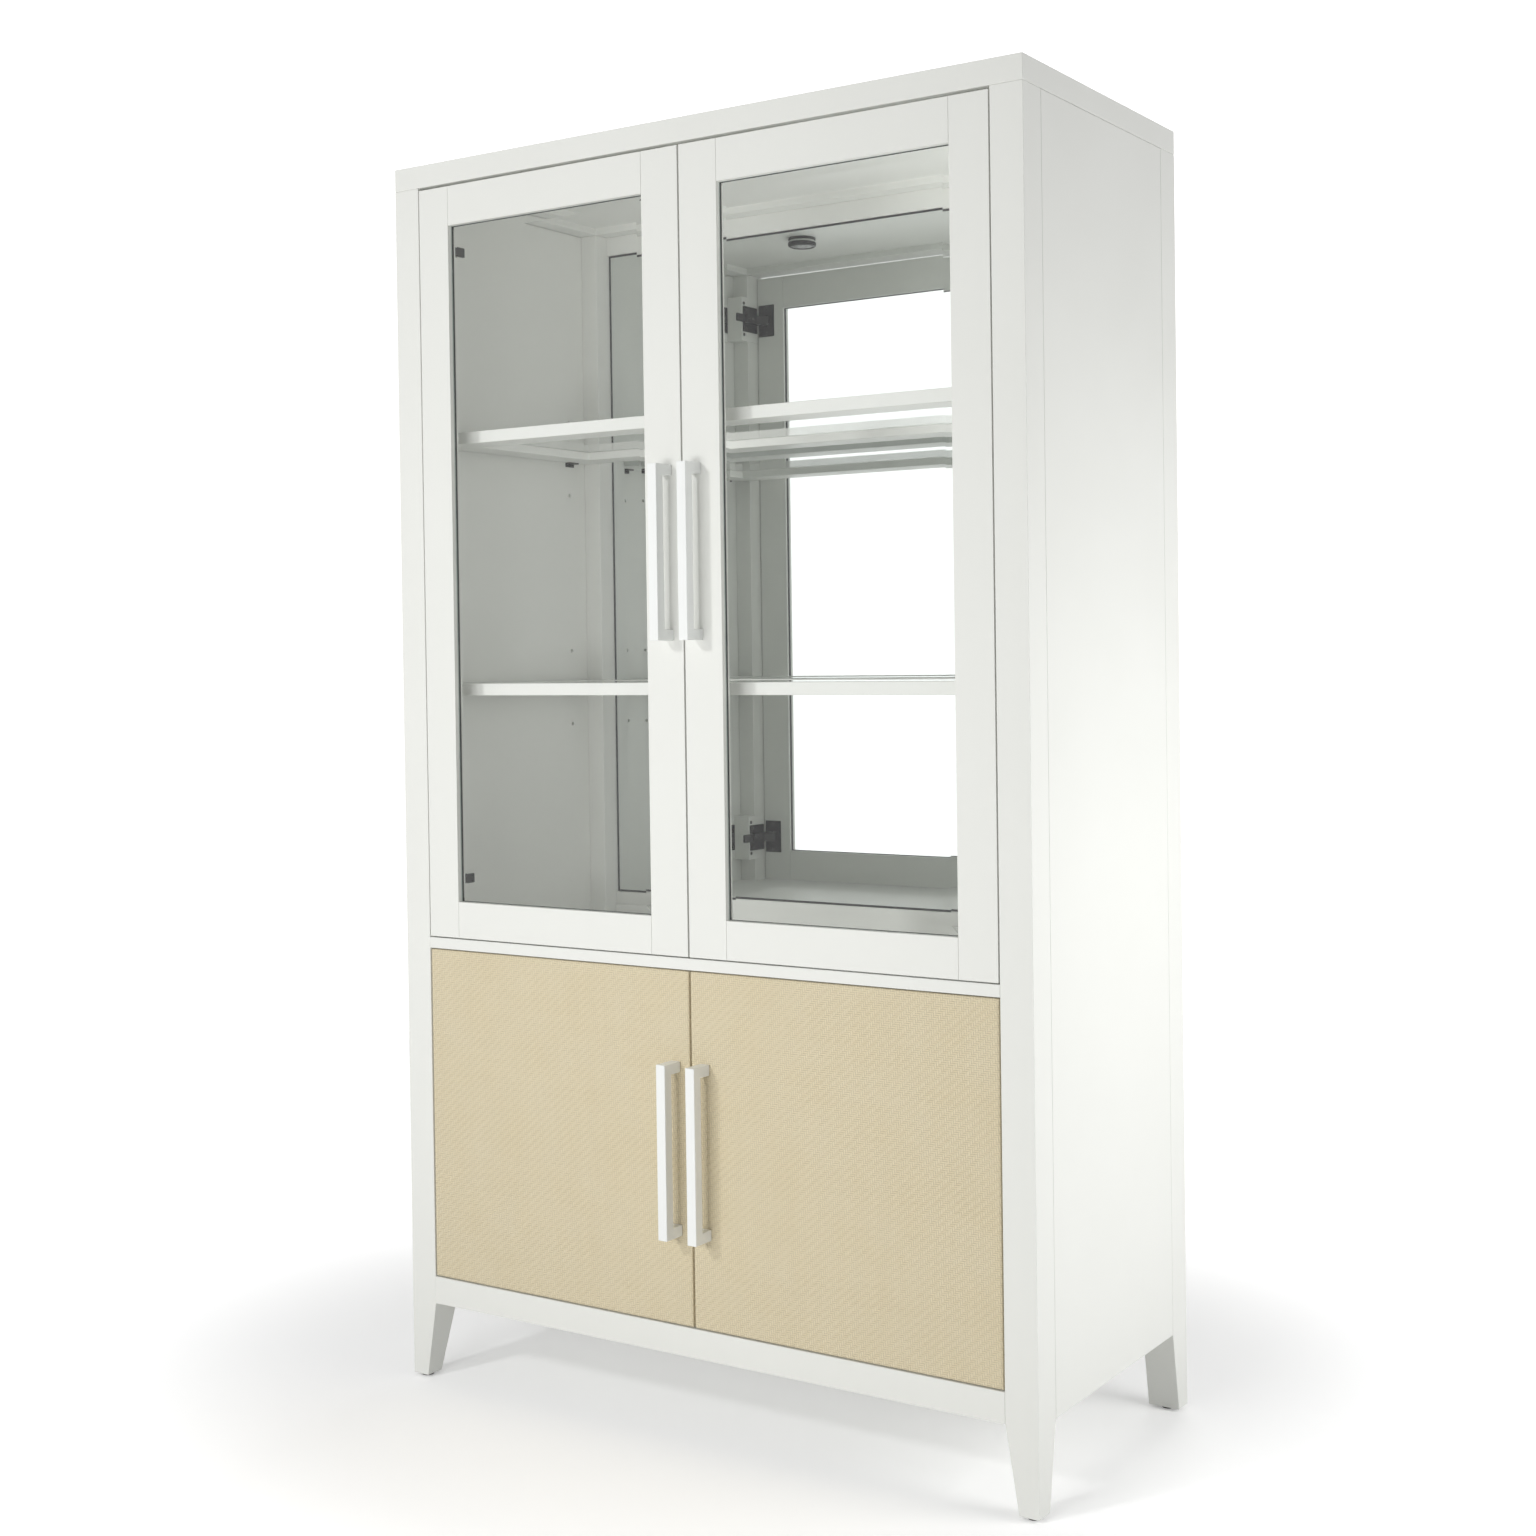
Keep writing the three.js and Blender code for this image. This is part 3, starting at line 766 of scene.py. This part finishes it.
for side in ("left", "right"):
    light_node = f"{side}_puck_light"
    low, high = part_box(light_node)
    centre = (low + high) / 2
    rim = light_part(f"{side}_light_rim", low, high, rim_section, 64, puck_metal)
    light_part(f"{side}_light_foot", low, high, foot_section, 64, puck_metal)
    light_part(f"{side}_light_collar", low, high, collar_section, 48, upright_lacquer)
    light_part(f"{side}_light_lens", low, high, lens_section, 48, puck_lens)
    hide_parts(light_node)
    turns = [2 * math.pi * i / diode_count for i in range(diode_count)]
    domes = copies_at(f"{side}_light_domes", [
        (centre.x + diode_ring * math.cos(turn), centre.y + diode_ring * math.sin(turn),
         low.z + diode_rise)
        for turn in turns], diode_dome, (0, 0, 0), puck_lens)
    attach(domes, "carcass")

# ---------------------------------------------------------------- concealed hinges
# Each leaf hangs on two concealed hinges: a plated arm on a plate at the carcass side, and a
# cup let into the leaf. Lacquered blocks pack the upper ones out to the face of the post, and
# a tail runs back from their arms.

block_ease = 1.0 * MM
metal_ease = 0.5 * MM
tail_ease = 1.2 * MM
tail_length = 26 * MM
tail_lap = 3 * MM
tail_half_height = 8 * MM
tail_start = 1.5 * MM
tail_thickness = 7 * MM
plate_reach = 3 * MM
arm_reach = 12 * MM
plate_screw_rise = 19 * MM
plate_screw_inset = 9 * MM
arm_screw_inset = 5.4 * MM
arm_screw_gap = 15 * MM
block_screw_rise = 32 * MM
block_screw_inset = 7 * MM
cup_screw_rise = 26 * MM

hinge_plate = plated("hinge_dark_nickel", (0.05, 0.05, 0.048, 1), 0.34, 0.25)


def above_and_below(x, y, z, rise):
    """Two points, one below and one above a middle point."""
    return [(x, y, z - rise), (x, y, z + rise)]


for side, turn, sign in (("left", FACE_RIGHT, -1), ("right", FACE_LEFT, 1)):
    carcass_points = []
    for level in ("upper", "lower"):
        leaf = f"{level}_{side}"
        cup_points = []
        for place in ("bottom", "top"):
            arm = f"{leaf}_hinge_arm_{place}"
            eased_copy(arm, metal_ease, hinge_plate)
            low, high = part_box(arm)
            middle = (low + high) / 2
            mount_x = high.x if sign > 0 else low.x
            plate_x = mount_x - sign * plate_reach
            arm_x = mount_x - sign * arm_reach
            arm_y = high.y - arm_screw_inset
            carcass_points += above_and_below(
                plate_x, high.y - plate_screw_inset, middle.z, plate_screw_rise)
            carcass_points.append((arm_x, arm_y, middle.z))
            if level == "upper":
                near_x, far_x = sorted(
                    (mount_x - sign * tail_start, mount_x - sign * tail_thickness))
                tail = block(
                    f"{arm}_tail", (near_x, high.y - tail_lap, middle.z - tail_half_height),
                    (far_x, high.y + tail_length, middle.z + tail_half_height), hinge_plate)
                ease(tail, tail_ease)
                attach(tail, "carcass")
                carcass_points.append((arm_x, arm_y - arm_screw_gap, middle.z))
                packing = f"{leaf}_hinge_block_{place}"
                eased_copy(packing, block_ease, upright_lacquer)
                block_low, block_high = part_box(packing)
                block_x = block_low.x if sign > 0 else block_high.x
                carcass_points += above_and_below(
                    block_x, block_high.y - block_screw_inset, middle.z, block_screw_rise)
            cup = f"{leaf}_hinge_cup_{place}"
            eased_copy(cup, metal_ease, hinge_plate)
            low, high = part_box(cup)
            middle = (low + high) / 2
            cup_points += above_and_below(middle.x, high.y, middle.z, cup_screw_rise)
        screws(f"{leaf}_cup_screws", cup_points, FACE_BACK, f"{leaf}_door")
    screws(f"{side}_hinge_screws", carcass_points, turn, "carcass")

# ---------------------------------------------------------------- glazed doors
# Each upper leaf is a frame of two full-height stiles with the rails butted between them. A
# pane with a wide bevel lies in it, held from behind by a narrow glazing seal whose dark
# colour paints the shade on the reveal behind the pane.

frame_ease = 0.6 * MM
hairline = 0.35 * MM
pane_bevel_width = 14 * MM
pane_bevel_depth = 1.3 * MM
seal_width = 1.0 * MM
seal_depth = 4.5 * MM
seal_gap = 0.1 * MM

for side in ("left", "right"):
    leaf = f"upper_{side}"
    for member in ("hinge_stile", "meeting_stile"):
        eased_copy(f"{leaf}_{member}", frame_ease, upright_lacquer)
    for member in ("top_rail", "bottom_rail"):
        eased_copy(f"{leaf}_{member}", frame_ease, level_lacquer, joint=hairline)
    pane_low, pane_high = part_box(f"{leaf}_glass")
    glass_sheet(f"{leaf}_glass", pane_low, pane_high, 1, pane_bevel_width, pane_bevel_depth)
    # The seal holds the pane; its near-black colour along the reveal is painted shade.
    seal_front = pane_high.y + seal_gap
    seal = mitred_ring(f"{leaf}_glazing_seal", pane_low, pane_high, [
        (0, seal_front), (seal_width, seal_front),
        (seal_width * 0.9, seal_front + seal_depth * 0.4),
        (seal_width * 0.5, seal_front + seal_depth * 0.85),
        (0, seal_front + seal_depth)], dark_seal_and_painted_shade)
    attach(seal, f"{leaf}_door")

# ---------------------------------------------------------------- woven doors
# Each lower leaf is a lacquered board covered in raffia: flat strips woven two over and two
# under, so that the steps run up to the right. The cover is glued over the edges.

warp_pitch = 3.82 * MM
weft_pitch = 3.15 * MM
cover_thickness = 0.5 * MM
board_gap = 0.9 * MM
cover_corner = 2.8 * MM
cover_lip = 3 * MM
cover_fold = 0.6 * MM
board_round = 1.6 * MM
weave_relief = 0.55 * MM
hand_wobble = 0.45
least_slack, slack_swing = 0.8, 0.5
twill_repeat = 4

raffia, raffia_tree, raffia_shader = new_material(
    "raffia_weave", Roughness=0.72, Sheen_Weight=0.15, Sheen_Roughness=0.5)
flat_place = node(raffia_tree, "ShaderNodeUVMap", uv_map="cloth")
axes = node(raffia_tree, "ShaderNodeSeparateXYZ", {0: flat_place.outputs[0]})


def strip_count(tree, socket, pitch):
    """How many strips from the corner a point is, its whole part and how far across it lies."""
    count = calc(tree, "DIVIDE", socket, pitch)
    return calc(tree, "FLOOR", count), calc(tree, "FRACT", count)


def hump(tree, across):
    """A rounded strip: 0 at its edges and 1 along its middle."""
    span = calc(tree, "MULTIPLY_ADD", across, 2.0, -1.0)
    square = calc(tree, "MULTIPLY", span, span)
    fourth = calc(tree, "MULTIPLY", square, square)
    return calc(tree, "SUBTRACT", 1.0, fourth)


warp_number, warp_across = strip_count(raffia_tree, axes.outputs[0], warp_pitch)
weft_number, weft_across = strip_count(raffia_tree, axes.outputs[1], weft_pitch)
step_number = calc(raffia_tree, "SUBTRACT", warp_number, weft_number)
in_repeat = calc(raffia_tree, "FLOORED_MODULO", step_number, float(twill_repeat))
warp_on_top = calc(raffia_tree, "LESS_THAN", in_repeat, twill_repeat / 2 - 0.5)
warp_hump = hump(raffia_tree, warp_across)
weft_hump = hump(raffia_tree, weft_across)
strip_height = mix(raffia_tree, warp_on_top, weft_hump, warp_hump)


def strip_tone(tree, number, salt, along_u, along_v):
    """A tone of its own for each strip, with fibres that run along it."""
    code = calc(tree, "ADD", number, salt)
    random = node(tree, "ShaderNodeTexWhiteNoise", {"W": code}, noise_dimensions="1D")
    stretched = node(tree, "ShaderNodeMapping", {
        "Vector": flat_place.outputs[0], "Scale": (along_u, along_v, 1)})
    fibres = node(tree, "ShaderNodeTexNoise", {
        "Vector": stretched.outputs[0], "Scale": 1, "Detail": 3})
    faint = calc(tree, "MULTIPLY_ADD", random.outputs[0], 0.16, 0.35)
    return calc(tree, "ADD", faint, fibres.outputs["Fac"]), fibres.outputs["Fac"]


warp_tone, warp_fibre = strip_tone(raffia_tree, warp_number, 3.7, 1600, 160)
weft_tone, weft_fibre = strip_tone(raffia_tree, weft_number, 91.3, 160, 1600)
# Painted light and shade: warp strips are painted lighter and weft strips darker, which brings out
# the twill's diagonal steps.
weft_painted_shade = calc(raffia_tree, "SUBTRACT", weft_tone, 0.12)
warp_painted_light = calc(raffia_tree, "ADD", warp_tone, 0.12)
top_tone = mix(raffia_tree, warp_on_top, weft_painted_shade, warp_painted_light)
top_fibre = mix(raffia_tree, warp_on_top, weft_fibre, warp_fibre)
patches = node(raffia_tree, "ShaderNodeTexNoise", {
    "Vector": flat_place.outputs[0], "Scale": 14, "Detail": 4})
straw_mix = calc(raffia_tree, "MULTIPLY", top_tone, 0.5)
straw = mix(raffia_tree, straw_mix, (0.62, 0.52, 0.325, 1), (0.86, 0.775, 0.575, 1), "RGBA")
patch_fade = node(raffia_tree, "ShaderNodeMapRange", {
    "Value": patches.outputs["Fac"], "From Min": 0.35, "From Max": 0.7,
    "To Min": 0.0, "To Max": 0.28})
patched = mix(raffia_tree, patch_fade.outputs[0], straw, (0.76, 0.69, 0.52, 1), "RGBA")
# Painted shade: the colour darkens to half at each strip's edges and where it dips under its
# neighbour.
painted_seam_shade = node(raffia_tree, "ShaderNodeMapRange", {
    "Value": strip_height, "From Min": 0.0, "From Max": 0.6, "To Min": 0.5, "To Max": 1.0})
shade_painted_straw = node(raffia_tree, "ShaderNodeVectorMath", {
    0: patched, "Scale": painted_seam_shade.outputs[0]}, operation="SCALE")
raffia_tree.links.new(shade_painted_straw.outputs[0], raffia_shader.inputs["Base Color"])
fibre_height = calc(raffia_tree, "MULTIPLY_ADD", top_fibre, 0.25, strip_height)
raffia_bump = node(raffia_tree, "ShaderNodeBump", {
    "Height": fibre_height, "Strength": 0.8, "Distance": 0.0008})
raffia_tree.links.new(raffia_bump.outputs[0], raffia_shader.inputs["Normal"])


def woven_cover(name, low, high):
    """The cover of one leaf: a woven sheet over the front, round the edges and just behind."""
    front, back = low.y + weave_relief / 2, high.y
    left, right = low.x, high.x
    bottom, top = low.z, high.z
    columns = round((right - left - 2 * cover_corner) / warp_pitch)
    rows = round((top - bottom - 2 * cover_corner) / weft_pitch)
    work = bmesh.new()
    uv = work.loops.layers.uv.new("cloth")
    flat = {}

    def raised(i, j):
        """Relief of the weave at a crossing, uneven by hand and dying out at the sheet's edge."""
        rim = min(i, j, columns - i, rows - j)
        lift = (-0.5, 0.5, 0.5, -0.5)[(i - j) % twill_repeat]
        uneven = hand_wobble * noise.noise(Vector((i * 0.83, j * 0.67, high.x * 90)))
        waves = noise.noise(Vector((i * 0.06, j * 0.05, high.x * 40)))
        slack = least_slack + slack_swing * waves
        return weave_relief * (lift + uneven) * slack * min(1.0, rim / 2)

    grid = []
    for j in range(rows + 1):
        z = bottom + cover_corner + (top - bottom - 2 * cover_corner) * j / rows
        line = []
        for i in range(columns + 1):
            x = left + cover_corner + (right - left - 2 * cover_corner) * i / columns
            corner = work.verts.new((x, front - raised(i, j), z))
            flat[corner] = (i * warp_pitch, j * weft_pitch)
            line.append(corner)
        grid.append(line)
    for j in range(rows):
        for i in range(columns):
            work.faces.new((grid[j][i], grid[j][i + 1], grid[j + 1][i + 1], grid[j + 1][i]))
    rim = (
        [(grid[0][i], 0, -1) for i in range(columns)]
        + [(grid[j][columns], 1, 0) for j in range(rows)]
        + [(grid[rows][i], 0, 1) for i in range(columns, 0, -1)]
        + [(grid[j][0], -1, 0) for j in range(rows, 0, -1)]
    )
    corner_ways = {
        grid[0][0]: (-1, -1), grid[0][columns]: (1, -1),
        grid[rows][columns]: (1, 1), grid[rows][0]: (-1, 1)}
    arc = [math.radians(a) for a in (30, 60, 90)]
    turns = [(cover_corner * math.sin(a), cover_corner * (1 - math.cos(a))) for a in arc]
    turns.append((cover_corner, back - front - cover_fold))
    turns.append((cover_corner - cover_fold, back - front))
    turns.append((cover_corner - cover_lip, back - front))
    loops = [[start for start, _, _ in rim]]
    run = 0.0
    previous = (0.0, 0.0)
    for outward, inward in turns:
        run += math.hypot(outward - previous[0], inward - previous[1])
        previous = (outward, inward)
        ring = []
        for start, way_x, way_z in rim:
            way_x, way_z = corner_ways.get(start, (way_x, way_z))
            corner = work.verts.new((
                start.co.x + way_x * outward, front + inward, start.co.z + way_z * outward))
            flat[corner] = (flat[start][0] + way_x * run, flat[start][1] + way_z * run)
            ring.append(corner)
        loops.append(ring)
    count = len(rim)
    for inner, outer in zip(loops, loops[1:]):
        for i in range(count):
            work.faces.new((inner[i], outer[i], outer[(i + 1) % count], inner[(i + 1) % count]))
    bmesh.ops.recalc_face_normals(work, faces=work.faces)
    for face in work.faces:
        for loop in face.loops:
            loop[uv].uv = flat[loop.vert]
    cover = link_piece(name, mesh_from(work, name), raffia)
    thick = cover.modifiers.new("thickness", "SOLIDIFY")
    thick.thickness = cover_thickness
    thick.offset = -1
    return cover


for side in ("left", "right"):
    leaf = f"lower_{side}"
    low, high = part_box(f"{leaf}_door_panel")
    gap = Vector((board_gap, board_gap, board_gap))
    board_low = low + gap + Vector((0, weave_relief, 0))
    board = block(f"{leaf}_door_board", board_low, high - gap, upright_lacquer)
    ease(board, board_round)
    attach(board, f"{leaf}_door")
    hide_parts(f"{leaf}_door_panel")
    cover = woven_cover(f"{leaf}_raffia_cover", low, high)
    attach(cover, f"{leaf}_door")

# ---------------------------------------------------------------- pulls
# Square bars on square feet, cast in one piece and powder coated in a cool white. Two stand
# side by side at the meeting line of each pair of leaves.

powder_coat, powder_tree, powder_shader = new_material("powder_coat", IOR=1.5, Coat_Weight=0.15)
powder_where = node(powder_tree, "ShaderNodeTexCoord")
pebble = node(powder_tree, "ShaderNodeTexNoise", {
    "Vector": powder_where.outputs["Object"], "Scale": 1500, "Detail": 2})
powder_gloss = node(powder_tree, "ShaderNodeMapRange", {
    "Value": pebble.outputs["Fac"], "To Min": 0.3, "To Max": 0.42})
powder_bump = node(powder_tree, "ShaderNodeBump", {
    "Height": pebble.outputs["Fac"], "Strength": 0.12, "Distance": 0.0002})
powder_fade = node(powder_tree, "ShaderNodeTexNoise", {
    "Vector": powder_where.outputs["Object"], "Scale": 12, "Detail": 2})
powder_tone = mix(powder_tree, powder_fade.outputs["Fac"],
                  (0.86, 0.875, 0.86, 1), (0.83, 0.845, 0.83, 1), "RGBA")
powder_tree.links.new(powder_tone, powder_shader.inputs["Base Color"])
powder_tree.links.new(powder_gloss.outputs[0], powder_shader.inputs["Roughness"])
powder_tree.links.new(powder_bump.outputs[0], powder_shader.inputs["Normal"])
pull_ease = 1.1 * MM

for level in ("upper", "lower"):
    for side in ("left", "right"):
        eased_copy(f"{level}_{side}_pull", pull_ease, powder_coat, segments=3)

# ---------------------------------------------------------------- glides
# A dark nylon disc is nailed under each foot, so that the cabinet slides without marking
# the floor.

nylon, nylon_tree, nylon_shader = new_material("dark_nylon", Roughness=0.6)
nylon_where = node(nylon_tree, "ShaderNodeTexCoord")
scuffs = node(nylon_tree, "ShaderNodeTexNoise", {
    "Vector": nylon_where.outputs["Object"], "Scale": 300, "Detail": 5})
nylon_tone = mix(nylon_tree, scuffs.outputs["Fac"],
                 (0.035, 0.034, 0.032, 1), (0.08, 0.078, 0.074, 1), "RGBA")
nylon_tree.links.new(nylon_tone, nylon_shader.inputs["Base Color"])
glide_ease = 0.8 * MM

for end in ("front", "rear"):
    for side in ("left", "right"):
        eased_copy(f"{end}_{side}_glide", glide_ease, nylon)

# ---------------------------------------------------------------- spare patterns
# The patterns for the copied pieces are put away.

for spare in (screw_head, pin_hole_cutter, shelf_support, diode_dome):
    bpy.data.objects.remove(spare)
